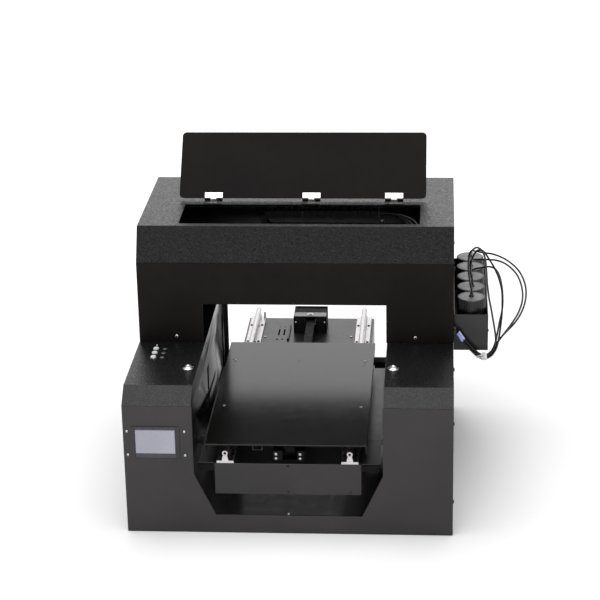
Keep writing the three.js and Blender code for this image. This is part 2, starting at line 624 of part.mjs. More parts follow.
// The bundle runs down and round below the rack and up to the grommet, in the grommet's plane:
// x, z, and the direction of its outer side in degrees. Each tube keeps its place in the section.
const BUNDLE = [
  [413.9, 302.2, -20], [409, 287, -28], [400.5, 275, -55], [388, 269.5, -90], [376.5, 274.3, -125],
  [366, 284, -134], [357, 294, -137], [349, 303, -139], [341, 314.5, -134], [333.4, 326.6, -122],
];
const PLACES = [[2.3, 5], [2.3, 0], [-2.3, 2.5], [2.3, -5], [-2.3, -2.5]]; // outward and sideways

function tubeRoute(index) {
  const [outward, sideways] = PLACES[index];
  const bundle = BUNDLE.map(([x, z, direction]) => {
    const angle = THREE.MathUtils.degToRad(direction);
    return [x + outward * Math.cos(angle), GROMMET.y + sideways, z + outward * Math.sin(angle)];
  });
  const start = [LOOPS[index][0][0], bottleY(index), BOTTLE.top + GAP];
  return [start, ...LOOPS[index], ...bundle];
}

function addTubes() {
  const section = new THREE.Shape(
    arc([0, 0], TUBE.radius, 0, 360, TUBE.sides).slice(0, -1).map(([u, v]) => new THREE.Vector2(u, v)),
  );
  return LOOPS.map((_, index) => {
    const path = new THREE.CatmullRomCurve3(tubeRoute(index).map((point) => new THREE.Vector3(...point)));
    const steps = Math.round(path.getLength() / (4 * TUBE.radius));
    const tube = new THREE.ExtrudeGeometry(section, { steps, extrudePath: path, bevelEnabled: false });
    return add(`ink_tube_${index + 1}`, 'rubber', tube);
  });
}

// ---------------------------------------------------------------- assembly
addBase();
addTowerCovers();
addGantry();
addHatch();
addPlatform();
addLeadScrews();
addBed();
addCarriage();
addControls();
addInkRack();
const tubes = addTubes();

// The origin is the middle of the footprint, measured without the free tubes.
machine.updateMatrixWorld(true);
const bounds = new THREE.Box3();
machine.traverse((object) => {
  if (object.isMesh && !tubes.includes(object)) bounds.expandByObject(object, true);
});
const middle = bounds.getCenter(new THREE.Vector3());
machine.position.set(-middle.x, -middle.y, -bounds.min.z);

const printer = new THREE.Group();
printer.add(machine);
export default printer;
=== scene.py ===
# Flatbed UV printer: finishes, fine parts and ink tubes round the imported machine.
# Shapes are worked in the machine's millimetres: X to the right from the middle of the hood, Y back
# from the front panel, Z up from the base. MACHINE carries them into the frame's metres.
import json
from math import cos, pi, radians, sin

import bmesh
import bpy
from mathutils import Matrix, Vector


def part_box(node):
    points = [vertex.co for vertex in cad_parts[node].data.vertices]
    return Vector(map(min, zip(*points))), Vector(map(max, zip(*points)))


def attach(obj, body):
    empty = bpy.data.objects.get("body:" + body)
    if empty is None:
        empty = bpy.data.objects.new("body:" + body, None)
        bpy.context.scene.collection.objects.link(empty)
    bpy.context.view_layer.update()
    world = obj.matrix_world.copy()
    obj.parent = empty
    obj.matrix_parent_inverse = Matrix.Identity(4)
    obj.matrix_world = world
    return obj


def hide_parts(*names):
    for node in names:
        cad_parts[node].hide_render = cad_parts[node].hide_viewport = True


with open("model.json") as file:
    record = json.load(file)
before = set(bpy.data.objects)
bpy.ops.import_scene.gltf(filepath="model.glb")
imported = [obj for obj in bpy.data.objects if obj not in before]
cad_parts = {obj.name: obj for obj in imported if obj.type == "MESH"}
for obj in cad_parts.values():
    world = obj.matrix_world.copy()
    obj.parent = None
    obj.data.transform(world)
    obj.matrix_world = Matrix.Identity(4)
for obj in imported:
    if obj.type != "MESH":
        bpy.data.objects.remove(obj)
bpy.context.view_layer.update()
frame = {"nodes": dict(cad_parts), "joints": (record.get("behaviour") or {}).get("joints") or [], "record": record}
record = frame["record"]
scene = bpy.context.scene

BODY_OF = {node: body for body, nodes in record["behaviour"]["bodies"].items() for node in nodes}
SLOT_OF = {part["node"]: part["material_slot"] for part in record["subparts"]}
JOINTS = {joint["name"]: joint for joint in frame["joints"]}

hood_low, hood_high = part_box("hood_cover")
front_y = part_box("front_panel")[0].y
MACHINE = Matrix.Translation(((hood_low.x + hood_high.x) / 2, front_y, 0)) @ Matrix.Scale(0.001, 4)
TO_MILLIMETRES = MACHINE.inverted()


def at(x, y, z):
    """A point of the machine, given in millimetres, in the frame's metres."""
    return MACHINE @ Vector((x, y, z))


def span(node):
    """The lowest and highest corners of a CAD node, in machine millimetres."""
    return [TO_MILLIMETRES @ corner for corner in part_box(node)]


# ---------------------------------------------------------------- camera
CAMERA = {"place": (294.0, -3531.3, 1852.1), "lens": 119.3, "yaw": 0.0745, "pitch": 0.365, "roll": -0.0201}


def add_camera():
    camera = bpy.data.objects.new("camera", bpy.data.cameras.new("camera"))
    scene.collection.objects.link(camera)
    camera.data.lens = CAMERA["lens"]
    camera.data.sensor_width = 36
    turn = Matrix.Rotation(CAMERA["yaw"], 4, "Z") @ Matrix.Rotation(pi / 2 - CAMERA["pitch"], 4, "X")
    roll = Matrix.Rotation(CAMERA["roll"], 4, "Z")
    camera.matrix_world = Matrix.Translation(at(*CAMERA["place"])) @ turn @ roll
    scene.camera = camera


# ---------------------------------------------------------------- materials
def surface(name, colour, roughness, metallic=0.0, specular=0.5, coat=0.0):
    """A material with these even values on its shader. Patterns are added to it afterwards."""
    material = bpy.data.materials.new(name)
    material.use_nodes = True
    shader = material.node_tree.nodes["Principled BSDF"]
    shader.inputs["Base Color"].default_value = (*colour, 1)
    shader.inputs["Roughness"].default_value = roughness
    shader.inputs["Metallic"].default_value = metallic
    shader.inputs["Specular IOR Level"].default_value = specular
    shader.inputs["Coat Weight"].default_value = coat
    shader.inputs["Coat Roughness"].default_value = 0.12
    return material


def pattern(material, kind, scale, detail=2.0, stretch=(1, 1, 1)):
    """A pattern on Object coordinates. Its scale counts features in a metre."""
    nodes, links = material.node_tree.nodes, material.node_tree.links
    place, mapping = nodes.new("ShaderNodeTexCoord"), nodes.new("ShaderNodeMapping")
    mapping.inputs["Scale"].default_value = stretch
    texture = nodes.new(f"ShaderNodeTex{kind}")
    texture.inputs["Scale"].default_value = scale
    if kind == "Noise":
        texture.inputs["Detail"].default_value = detail
    links.new(place.outputs["Object"], mapping.inputs["Vector"])
    links.new(mapping.outputs["Vector"], texture.inputs["Vector"])
    return texture.outputs["Fac" if kind == "Noise" else "Distance"]


def stretched(material, source, low, high, from_low=0.3, from_high=0.7):
    """A pattern's usual values spread from low to high."""
    spread = material.node_tree.nodes.new("ShaderNodeMapRange")
    spread.interpolation_type = "SMOOTHSTEP"
    spread.inputs["From Min"].default_value = from_low
    spread.inputs["From Max"].default_value = from_high
    spread.inputs["To Min"].default_value = low
    spread.inputs["To Max"].default_value = high
    material.node_tree.links.new(source, spread.inputs["Value"])
    return spread.outputs["Result"]


def two_tone(material, dark, light, source):
    """Colour that goes from dark to light with a pattern."""
    nodes, links = material.node_tree.nodes, material.node_tree.links
    mix = nodes.new("ShaderNodeMix")
    mix.data_type = "RGBA"
    mix.inputs["A"].default_value = (*dark, 1)
    mix.inputs["B"].default_value = (*light, 1)
    links.new(source, mix.inputs["Factor"])
    links.new(mix.outputs["Result"], nodes["Principled BSDF"].inputs["Base Color"])


def mottled(material, colour, amount, scale):
    """Faint unevenness of colour."""
    source = stretched(material, pattern(material, "Noise", scale, 4.0), 0, 1)
    two_tone(material, [c * (1 - amount) for c in colour], [c * (1 + amount) for c in colour], source)


def uneven_gloss(material, low, high, scale, stretch=(1, 1, 1)):
    source = stretched(material, pattern(material, "Noise", scale, 3.0, stretch), low, high)
    material.node_tree.links.new(source, material.node_tree.nodes["Principled BSDF"].inputs["Roughness"])


def relief(material, source, depth, strength=1.0):
    """Fine relief, its depth in metres."""
    nodes, links = material.node_tree.nodes, material.node_tree.links
    bump = nodes.new("ShaderNodeBump")
    bump.inputs["Strength"].default_value = strength
    bump.inputs["Distance"].default_value = depth
    links.new(source, bump.inputs["Height"])
    links.new(bump.outputs["Normal"], nodes["Principled BSDF"].inputs["Normal"])


def smooth_coat(name, colour, roughness, specular, amount=0.18):
    """Satin powder coat: nearly flat, with a faint orange peel."""
    material = surface(name, colour, roughness, specular=specular)
    mottled(material, colour, amount, 9)
    uneven_gloss(material, roughness - 0.02, roughness + 0.03, 60)
    relief(material, pattern(material, "Noise", 900, 1.0), 0.00001)
    return material


def wrinkle_coat(name, dark, light, roughness, specular):
    """Wrinkled powder coat: small hard ridges in relief, their tops coloured lighter as a painted highlight of the
    glints they catch.
    """
    material = surface(name, dark, roughness, specular=specular)
    ridges = pattern(material, "Noise", 300, 3.0)
    # painted highlight: the ridge tops get the lighter colour to stand for their glints
    two_tone(material, dark, light, stretched(material, ridges, 0, 1, 0.45, 0.72))
    uneven_gloss(material, roughness - 0.1, roughness + 0.12, 260)
    relief(material, ridges, 0.0009)
    return material


def brushed_metal(name, colour, roughness, stretch=(40, 1, 40), depth=0.00002):
    """Drawn or turned metal, with fine lines along it."""
    material = surface(name, colour, roughness, metallic=1.0)
    lines = pattern(material, "Noise", 60, 4.0, stretch)
    two_tone(material, [c * 0.8 for c in colour], colour, stretched(material, lines, 0, 1))
    uneven_gloss(material, roughness - 0.06, roughness + 0.1, 45, stretch)
    relief(material, lines, depth)
    return material


def moulded(name, colour, roughness, specular=0.5, depth=0.00004, grain=900):
    """Moulded plastic or rubber with a fine spark-eroded grain."""
    material = surface(name, colour, roughness, specular=specular)
    mottled(material, colour, 0.15, 25)
    uneven_gloss(material, roughness - 0.06, roughness + 0.08, 90)
    relief(material, pattern(material, "Noise", grain, 2.0), depth)
    return material


def anodised_bed(name):
    """Dark anodised plate: close grain, with faint marks of use along its length."""
    material = surface(name, (0.004, 0.0035, 0.0034), 0.19, specular=0.36)
    two_tone(material, (0.0015, 0.0013, 0.0012), (0.0050, 0.0044, 0.0040), stretched(
        material, pattern(material, "Noise", 520, 3.0), 0, 1))
    uneven_gloss(material, 0.17, 0.20, 60)
    relief(material, pattern(material, "Noise", 700, 2.0), 0.00002)
    return material


def lit_screen(name):
    """A pale display under its cover, a little uneven."""
    material = surface(name, (0.34, 0.34, 0.40), 0.3, specular=0.35, coat=0.25)
    two_tone(material, (0.30, 0.30, 0.355), (0.335, 0.335, 0.395), stretched(
        material, pattern(material, "Noise", 16, 1.0), 0, 1))
    uneven_gloss(material, 0.24, 0.34, 60)
    return material


FINISHES = {
    "smooth_black": smooth_coat("satin_black_coat", (0.0155, 0.0130, 0.0136), 0.32, 0.42),
    "wrinkle_black": wrinkle_coat(
        "wrinkle_black_coat", (0.002, 0.002, 0.0023), (0.017, 0.017, 0.0195), 0.36, 0.36),
    "plate_black": smooth_coat("plain_black_coat", (0.0075, 0.0055, 0.0052), 0.45, 0.08),
    "bed_grey": anodised_bed("anodised_bed_face"),
    "aluminium": brushed_metal("drawn_aluminium", (0.60, 0.58, 0.585), 0.34, (30, 1, 30)),
    "steel": brushed_metal("bright_steel", (0.62, 0.63, 0.66), 0.27, (1, 1, 18)),
    "chrome": brushed_metal("nickel_plate", (0.88, 0.87, 0.85), 0.2, (1, 1, 1), 0.00001),
    "plastic_black": moulded("black_plastic", (0.011, 0.011, 0.012), 0.42),
    "bottle_black": moulded("bottle_plastic", (0.013, 0.013, 0.014), 0.3, depth=0.00003, grain=400),
    "rubber": moulded("black_rubber", (0.012, 0.012, 0.013), 0.38, grain=1500, depth=0.00002),
    "screen_grey": lit_screen("display_face"),
    "motor_black": smooth_coat("motor_black_coat", (0.010, 0.010, 0.011), 0.36, 0.5),
    "head_grey": moulded("head_grey_plastic", (0.25, 0.26, 0.28), 0.4),
}
LINER_BLACK = smooth_coat("liner_black_coat", (0.003, 0.0025, 0.0026), 0.17, 0.12)
# Matt black for real black rubber and plastic parts, and also for black pieces that are painted shade: the wing
# strips, the rail end plugs and the block end plates.
MATT_BLACK_AND_SHADE = moulded("matt_black_rubber_and_painted_shade", (0.004, 0.004, 0.0045), 0.6, 0.1, grain=1100)
# A lighter grey for the cap tops: a painted reflection of the bright light behind the machine on these flat tops.
CAP_REFLECTION = moulded("cap_top_painted_reflection", (0.16, 0.16, 0.165), 0.42, grain=300, depth=0.0001)
# Blackened steel for the dark screws, bolts and clips, and also painted shade on the fixed hinge leaves.
BLACK_STEEL_AND_SHADE = brushed_metal("blackened_steel_and_painted_shade", (0.035, 0.034, 0.034), 0.35, (1, 1, 1))
# Grey for the strip on the motor bracket, and also a painted highlight on the rear cross-piece.
GREY_STRIP_AND_HIGHLIGHT = smooth_coat("grey_strip_and_painted_highlight", (0.17, 0.17, 0.18), 0.4, 0.5)
DARK_MASK = moulded("display_mask", (0.028, 0.027, 0.038), 0.25, grain=1200, depth=0.00001)
DIM_LAMP = moulded("dim_lamp_lens", (0.10, 0.095, 0.095), 0.25, grain=700, depth=0.00002)
WHITE_NYLON = moulded("white_nylon", (0.80, 0.80, 0.78), 0.4, grain=500, depth=0.00006)
BLUE_SLEEVE = moulded("pale_blue_sleeve", (0.33, 0.37, 0.78), 0.35, grain=800, depth=0.00003)
PALE_KEY = moulded("pale_key_face", (0.86, 0.86, 0.85), 0.3, grain=900, depth=0.00001)
VIOLET_SLEEVE = moulded("pale_violet_sleeve", (0.50, 0.48, 0.82), 0.35, grain=800, depth=0.00003)
INK_TUBE = moulded("ink_tube_plastic", (0.008, 0.008, 0.009), 0.22, grain=350, depth=0.00003)


# ---------------------------------------------------------------- ink tubes
TUBE_RADIUS = 2
FIRST_BOTTLE_Y, BOTTLE_PITCH, TUBE_START_Z = 576, 61.5, 383.3
GROMMET_Y = 278

# The loose part of each tube, from its bottle's cap to the bundle: x, y, z.
LOOPS = [
    [
        (362, 576, 391), (365, 573, 397), (375, 564, 399), (390, 547, 402), (408, 520, 409),
        (428, 490, 412), (445, 461, 411), (462, 430, 404), (473, 398, 391), (476, 368, 375),
        (470, 339, 356), (455, 312, 337),
    ],
    [
        (362, 515, 391), (365, 513, 397), (374, 507, 401), (388, 496, 405), (402, 480, 410),
        (415, 463, 415), (431, 444, 416), (446, 423, 412), (459, 400, 403), (467, 376, 387),
        (468, 350, 370), (460, 325, 352), (444, 300, 334),
    ],
    [
        (362, 453, 391), (365, 451, 397), (373, 446, 402), (382, 440, 406), (392, 432, 411),
        (402, 422, 415), (412, 410, 415), (420, 395, 407), (425, 374, 393), (427, 352, 376),
        (426, 330, 356), (420, 308, 335),
    ],
    [
        (364, 392, 398), (361, 385, 416), (361, 377, 438), (366, 368, 459), (374, 361, 473),
        (385, 355, 474), (396, 348, 461), (408, 340, 443), (418, 331, 422), (424, 321, 399),
        (425, 310, 375), (424, 299, 352),
    ],
    [
        (362, 330, 397), (358, 325, 420), (355, 320, 448), (356, 315, 473), (362, 313, 490),
        (371, 311, 497), (381, 309, 492), (388, 307, 476), (391, 303, 454), (393, 298, 426),
        (397, 292, 395), (403, 287, 365),
    ],
]
# The bundle's course in the grommet's plane: x, z, and the direction of its outer side in degrees.
BUNDLE = [
    (413.9, 302.2, -20), (409, 287, -28), (400.5, 275, -55), (388, 269.5, -90),
    (376.5, 274.3, -125), (366, 284, -134), (357, 294, -137), (349, 303, -139),
    (341, 314.5, -134), (333.4, 326.6, -122),
]
PLACES = [(2.3, 5), (2.3, 0), (-2.3, 2.5), (2.3, -5), (-2.3, -2.5)]  # outward and sideways
SLEEVES = {3: (BLUE_SLEEVE, -8), 4: (VIOLET_SLEEVE, -8)}  # by tube: finish, and start before the last bend
TUBE_LENGTHS = [0.523, 0.473, 0.379, 0.443, 0.451]


def bundle_point(tube, step):
    """Where a tube runs at one step of the bundle."""
    outward, sideways = PLACES[tube]
    x, z, direction = BUNDLE[step]
    angle = radians(direction)
    return (x + outward * cos(angle), GROMMET_Y + sideways, z + outward * sin(angle))


def tube_route(tube):
    start = (LOOPS[tube][0][0], FIRST_BOTTLE_Y - tube * BOTTLE_PITCH, TUBE_START_Z)
    return [start, *LOOPS[tube], *(bundle_point(tube, step) for step in range(len(BUNDLE)))]


def smooth_curve(name, points, radius, material):
    """A round curve through machine points, as a Bezier that follows a centripetal spline."""
    data = bpy.data.curves.new(name, "CURVE")
    data.dimensions = "3D"
    data.bevel_depth = radius * 0.001
    data.bevel_resolution = 4
    data.resolution_u = data.render_resolution_u = 8
    data.use_fill_caps = True
    data.materials.append(material)
    spline = data.splines.new("BEZIER")
    spline.bezier_points.add(len(points) - 1)
    places = [at(*point) for point in points]
    places = [places[0] * 2 - places[1], *places, places[-1] * 2 - places[-2]]
    for i, knot in enumerate(spline.bezier_points, 1):
        before, here, after = places[i - 1:i + 2]
        a, b = (here - before).length ** 0.5, (after - here).length ** 0.5
        speed = (here - before) / a - (after - before) / (a + b) + (after - here) / b
        knot.handle_left_type = knot.handle_right_type = "FREE"
        knot.co = here
        knot.handle_left = here - speed * a / 3
        knot.handle_right = here + speed * b / 3
    made = bpy.data.objects.new(name, data)
    scene.collection.objects.link(made)
    return made


def add_ink_tubes():
    """The five free tubes, made after the sleeves and the tie that are on them."""
    fittings = {0: [add_tube_tie()]}
    fittings.update({tube: [add_tube_sleeve(tube, *looks)] for tube, looks in SLEEVES.items()})
    for tube, length in enumerate(TUBE_LENGTHS):
        route = tube_route(tube)
        name = f"ink_tube_{tube + 1}"
        made = smooth_curve(f"{name}_hose", route, TUBE_RADIUS, INK_TUBE)
        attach(made, BODY_OF[name])
        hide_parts(name)


def add_tube_sleeve(tube, material, start):
    """A coloured sleeve where a tube nears the grommet."""
    near, far = (Vector(bundle_point(tube, step)) for step in (-2, -1))
    aim = (far - near).to_track_quat("Z", "Y").to_matrix().to_4x4()
    sleeve = turned([(2.1, 0), (2.3, 0), (2.5, 0.4), (2.5, 20), (2.3, 20.4), (2.1, 20.4), (2.1, 0)], 24)
    place = there(*(near + (far - near).normalized() * start), aim)
    return trim(f"tube_sleeve_{tube + 1}", "tube_grommet", add(bmesh.new(), sleeve, place), None, material)


def add_tube_tie():
    """The white tie that holds the bundle together below the rack."""
    step = 3
    x, z, _ = BUNDLE[step]
    before, after = BUNDLE[step - 1], BUNDLE[step + 1]
    aim = Vector((after[0] - before[0], 0, after[1] - before[1])).to_track_quat("Z", "Y").to_matrix().to_4x4()
    tie = bmesh.new()
    for shift in (-6, -2, 2):
        band = turned([(7.6, 0), (8.4, 0), (8.6, 0.4), (8.6, 3.4), (8.4, 3.8), (7.6, 3.8), (7.6, 0)], 36)
        add(tie, band, there(x, GROMMET_Y, z) @ Matrix.Diagonal((1, 1, 0.78, 1)) @ aim @ there(0, 0, shift))
    add(tie, block((-3, 3), (-2.4, 2.4), (5.5, 9.5), 0.8), there(x, GROMMET_Y, z))
    for lift, tilt in ((7.4, -0.3), (2.6, -0.12)):
        add(tie, block((-15, 3), (-1.6, 1.6), (lift, lift + 1.4), 0.4), there(
            x, GROMMET_Y - 8, z, Matrix.Rotation(tilt, 4, "Y")))
    return trim("tube_tie", "tube_grommet", tie, None, WHITE_NYLON)


# ---------------------------------------------------------------- shape helpers
FORWARD = Matrix.Rotation(pi / 2, 4, "X")  # turns a part that stands on Z to face the front
BACKWARD = Matrix.Rotation(-pi / 2, 4, "X")
RIGHTWARD = Matrix.Rotation(pi / 2, 4, "Y")
DOWNWARD = Matrix.Rotation(pi, 4, "X")


def there(x, y, z, turn=Matrix()):
    return Matrix.Translation((x, y, z)) @ turn


def add(bm, part, *places):
    """Adds a part, another bmesh, at each place, and frees it."""
    mesh = bpy.data.meshes.new("part")
    part.to_mesh(mesh)
    part.free()
    for place in places or [Matrix()]:
        one = mesh.copy()
        one.transform(place)
        bm.from_mesh(one)
        bpy.data.meshes.remove(one)
    bpy.data.meshes.remove(mesh)
    return bm


def round_edges(bm, radius, segments=2, angle=25, where=lambda edge: True):
    """Rounds the edges that turn by more than an angle."""
    sharp = [
        edge for edge in bm.edges
        if len(edge.link_faces) == 2 and edge.calc_face_angle() > radians(angle) and where(edge)
    ]
    bmesh.ops.bevel(
        bm, geom=sharp, affect="EDGES", offset=radius, offset_type="OFFSET", segments=segments,
        profile=0.5, material=-1, clamp_overlap=True,
    )
    return bm


def block(x, y, z, radius=0.5, segments=2):
    """A box between three pairs of limits, with rounded edges."""
    bm = bmesh.new()
    corners = bmesh.ops.create_cube(bm, size=1)["verts"]
    limits = (x, y, z)
    bmesh.ops.scale(bm, vec=[high - low for low, high in limits], verts=corners)
    bmesh.ops.translate(bm, vec=[(low + high) / 2 for low, high in limits], verts=corners)
    return round_edges(bm, radius, segments) if radius else bm


def turned(profile, steps=40):
    """A part turned about the Z axis from (radius, height) points."""
    bm = bmesh.new()
    points = [bm.verts.new((radius, 0, height)) for radius, height in profile]
    sides = [bm.edges.new(pair) for pair in zip(points, points[1:])]
    bmesh.ops.spin(
        bm, geom=points + sides, cent=(0, 0, 0), axis=(0, 0, 1), angle=2 * pi, steps=steps, use_merge=True,
    )
    bmesh.ops.remove_doubles(bm, verts=bm.verts, dist=0.0005)
    bmesh.ops.recalc_face_normals(bm, faces=bm.faces)
    return bm


def slab(outline, depth, radius=0.0):
    """A flat outline in X and Y, thick in Z."""
    bm = bmesh.new()
    face = bm.faces.new([bm.verts.new((x, y, 0)) for x, y in outline])
    raised = bmesh.ops.extrude_face_region(bm, geom=[face])["geom"]
    bmesh.ops.translate(bm, vec=(0, 0, depth), verts=[v for v in raised if isinstance(v, bmesh.types.BMVert)])
    bmesh.ops.recalc_face_normals(bm, faces=bm.faces)
    return round_edges(bm, radius) if radius else bm


def stacked(rings):
    """A part from (radius, height, sides) rings, joined one to the next and closed at both ends."""
    bm = bmesh.new()
    loops = []
    for radius, height, sides in rings:
        place = Matrix.Translation((0, 0, height))
        ring = bmesh.ops.create_circle(bm, radius=radius, segments=sides, matrix=place)["verts"]
        loops.append(list({edge for vert in ring for edge in vert.link_edges}))
    for lower, upper in zip(loops, loops[1:]):
        bmesh.ops.bridge_loops(bm, edges=lower + upper)
    for end in (loops[0], loops[-1]):
        bmesh.ops.edgeloop_fill(bm, edges=end)
    bmesh.ops.recalc_face_normals(bm, faces=bm.faces)
    return bm


def socket_screw(radius, head):
    """A button head with a hexagon socket, standing on Z = 0."""
    return stacked([
        (radius, 0, 20), (radius, head * 0.45, 20), (radius * 0.84, head * 0.85, 20),
        (radius * 0.62, head, 20), (radius * 0.45, head, 6), (radius * 0.45, head * 0.35, 6),
    ])


def washer(radius, bore, height):
    return turned([(bore, 0), (radius, 0), (radius, height), (bore, height), (bore, 0)], 28)


def carve(bm, tool):
    """Cuts the tool's shape out of another."""
    holders = []
    for part in (bm, tool):
        mesh = bpy.data.meshes.new("carving")
        part.to_mesh(mesh)
        part.free()
        holders.append(bpy.data.objects.new("carving", mesh))
        scene.collection.objects.link(holders[-1])
    cutting = holders[0].modifiers.new("cut", "BOOLEAN")
    cutting.object = holders[1]
    carved = bmesh.new()
    carved.from_object(holders[0], bpy.context.evaluated_depsgraph_get())
    for holder in holders:
        bpy.data.meshes.remove(holder.data)
    return carved


def bare(node):
    """A copy of a CAD node's shape, with its flat faces whole."""
    bm = bmesh.new()
    bm.from_mesh(frame["nodes"][node].data)
    bm.transform(TO_MILLIMETRES)
    bmesh.ops.remove_doubles(bm, verts=bm.verts, dist=0.01)
    bmesh.ops.dissolve_limit(bm, angle_limit=radians(1), verts=bm.verts, edges=bm.edges)
    return bm


def broad(edge):
    """True for a bend between two wide faces, as against the rim of a sheet."""
    return all(face.calc_area() > 5 * edge.calc_length() for face in edge.link_faces)


def piece(name, bm, material, body, stands_for=(), crease=32):
    """Puts a finished shape into the scene, on its body."""
    bm.transform(MACHINE)
    mesh = bpy.data.meshes.new(name)
    bm.to_mesh(mesh)
    bm.free()
    mesh.materials.append(material)
    mesh.shade_smooth()
    mesh.set_sharp_from_angle(angle=radians(crease))
    made = bpy.data.objects.new(name, mesh)
    scene.collection.objects.link(made)
    shading = made.modifiers.new("flat_faces", "WEIGHTED_NORMAL")
    shading.weight = 100
    shading.keep_sharp = True
    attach(made, body)
    if stands_for:
        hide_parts(*stands_for)
    return made


def stand_in(node, bm, name="formed", material=None):
    """A finished shape in place of a CAD node, on its body, in its slot's finish unless another is named."""
    slot = SLOT_OF[node]
    return piece(f"{node}_{name}", bm, material or FINISHES[slot], BODY_OF[node], [node])


def trim(name, node, bm, slot, material=None):
    """A small part that rides with a CAD node's body."""
    return piece(name, bm, material or FINISHES[slot], BODY_OF[node])


# ---------------------------------------------------------------- covers
BEND = {"hood_cover": 2.5, "ink_rack": 1.6, "lift_table": 1.4, "base_pan": 1.5, "hatch_lid": 0.8}
RIM = 0.5


def formed(node, rim=RIM):
    """A CAD sheet with rounded bends and softened rims."""
    bm = bare(node)
    if node in BEND:
        round_edges(bm, BEND[node], 4, where=broad)
    return round_edges(bm, rim, 2, where=lambda edge: edge.calc_length() > 3 * rim)


def add_covers():
    for node in (
        "base_pan", "front_panel", "left_side_cover", "right_side_cover", "left_tower_cover",
        "right_tower_cover", "trough_liner", "gantry_front_plate", "rear_panel", "hood_cover",
        "hatch_lid", "ink_rack",
    ):
        stand_in(node, formed(node), material=LINER_BLACK if node == "trough_liner" else None)


TROUGH_FLOOR = 39


def add_cover_screws():
    """Screws on the gantry plate, the trough's front edge, the sides and the back."""
    left, right = span("hood_cover")[0].x, span("hood_cover")[1].x
    rear = span("rear_panel")[1].y
    gantry = span("gantry_front_plate")[0]
    bright = bmesh.new()
    add(bright, socket_screw(4.2, 2.6), *(there(x, gantry.y, gantry.z + 12, FORWARD) for x in (-247, 247)))
    add(bright, socket_screw(3.4, 2.4), there(-1, 8, TROUGH_FLOOR))
    trim("gantry_screws", "gantry_front_plate", bright, "steel")
    dark = bmesh.new()
    sides = [(y, z) for y in (300, 460, 615) for z in (60, 200, 455)] + [(30, 60), (30, 230), (160, 290)]
    add(dark, socket_screw(4, 2.2), *(there(left, y, z, RIGHTWARD @ DOWNWARD) for y, z in sides))
    add(dark, socket_screw(4, 2.2), *(
        there(right, y, z, RIGHTWARD) for y, z in sides if not (y > 280 and 250 < z < 380)))
    add(dark, socket_screw(4, 2.2), *(
        there(x, rear, z, BACKWARD) for x in (-300, 300) for z in (60, 250, 455)))
    trim("side_screws", "rear_panel", dark, "motor_black", BLACK_STEEL_AND_SHADE)
    # painted highlight: a grey band on the rear cross-piece stands for the light on its top edge
    lit_band = block((150, 181), (rear - 5, rear - 2.2), (108, 120), 0.4)
    trim("rear_painted_highlight", "rear_panel", lit_band, "smooth_black", GREY_STRIP_AND_HIGHLIGHT)


# ---------------------------------------------------------------- lid hinges
def add_hinges():
    joint = JOINTS["lid_hinge"]
    axis = TO_MILLIMETRES @ Vector(joint["pos_m"])
    swung = Matrix.Rotation(-radians(joint["range_deg"][1]), 4, "X")
    width, knuckle, thickness = 38, 2.4, 1.1
    third = width / 6
    lid_face = 0.8  # the lid's inner face over the axis, with the lid shut
    leaves = bmesh.new()
    for index in (1, 2, 3):
        node = f"hinge_base_{index}"
        low, high = span(node)
        middle = (low.x + high.x) / 2
        fixed = block(
            (-width / 2, width / 2), (low.y - axis.y, -knuckle - 0.9),
            (low.z - axis.z, low.z - axis.z + thickness), 0.4)
        for side in (-1, 1):
            start = min(side * (third + 0.5), side * width / 2)
            length = width / 2 - third - 0.5
            add(fixed, knuckle_tube(length, knuckle), there(start, 0, 0, RIGHTWARD))
            ends = (start, start + length)
            add(fixed, block(ends, (-knuckle - 1.2, -0.4), (low.z - axis.z, low.z - axis.z + thickness), 0.3))
        add(fixed, countersunk(2.4), *(
            there(x, low.y - axis.y + 8, low.z - axis.z + thickness) for x in (-12, 0, 12)))
        whole = add(bmesh.new(), fixed, there(middle, axis.y, axis.z))
        # painted shade: the fixed leaf gets the dark steel in place of its bright slot finish, standing for the
        # shadow below the moving leaf
        stand_in(node, whole, "leaf", BLACK_STEEL_AND_SHADE)

        moving = block((-width / 2, width / 2), (-15, -2.8), (lid_face - thickness, lid_face - 0.05), 0.4)
        add(moving, knuckle_tube(2 * third - 0.6, knuckle + 0.25), there(-third + 0.3, 0, 0, RIGHTWARD))
        add(moving, countersunk(2.2), *(
            there(x, -9, lid_face - thickness, DOWNWARD) for x in (-12, 0, 12)))
        add(leaves, moving, there(middle, axis.y, axis.z, swung))
    trim("lid_hinge_leaves", "hatch_lid", leaves, "chrome")


def knuckle_tube(length, radius):
    return turned([
        (0, 0), (radius - 0.3, 0), (radius, 0.3), (radius, length - 0.3), (radius - 0.3, length), (0, length),
    ], 24)


def countersunk(radius):
    """A flat screw head, just proud of its plate, with a recess."""
    return stacked([
        (radius, -0.2, 18), (radius * 0.92, 0.35, 18), (radius * 0.45, 0.35, 4), (radius * 0.3, -0.1, 4),
    ])


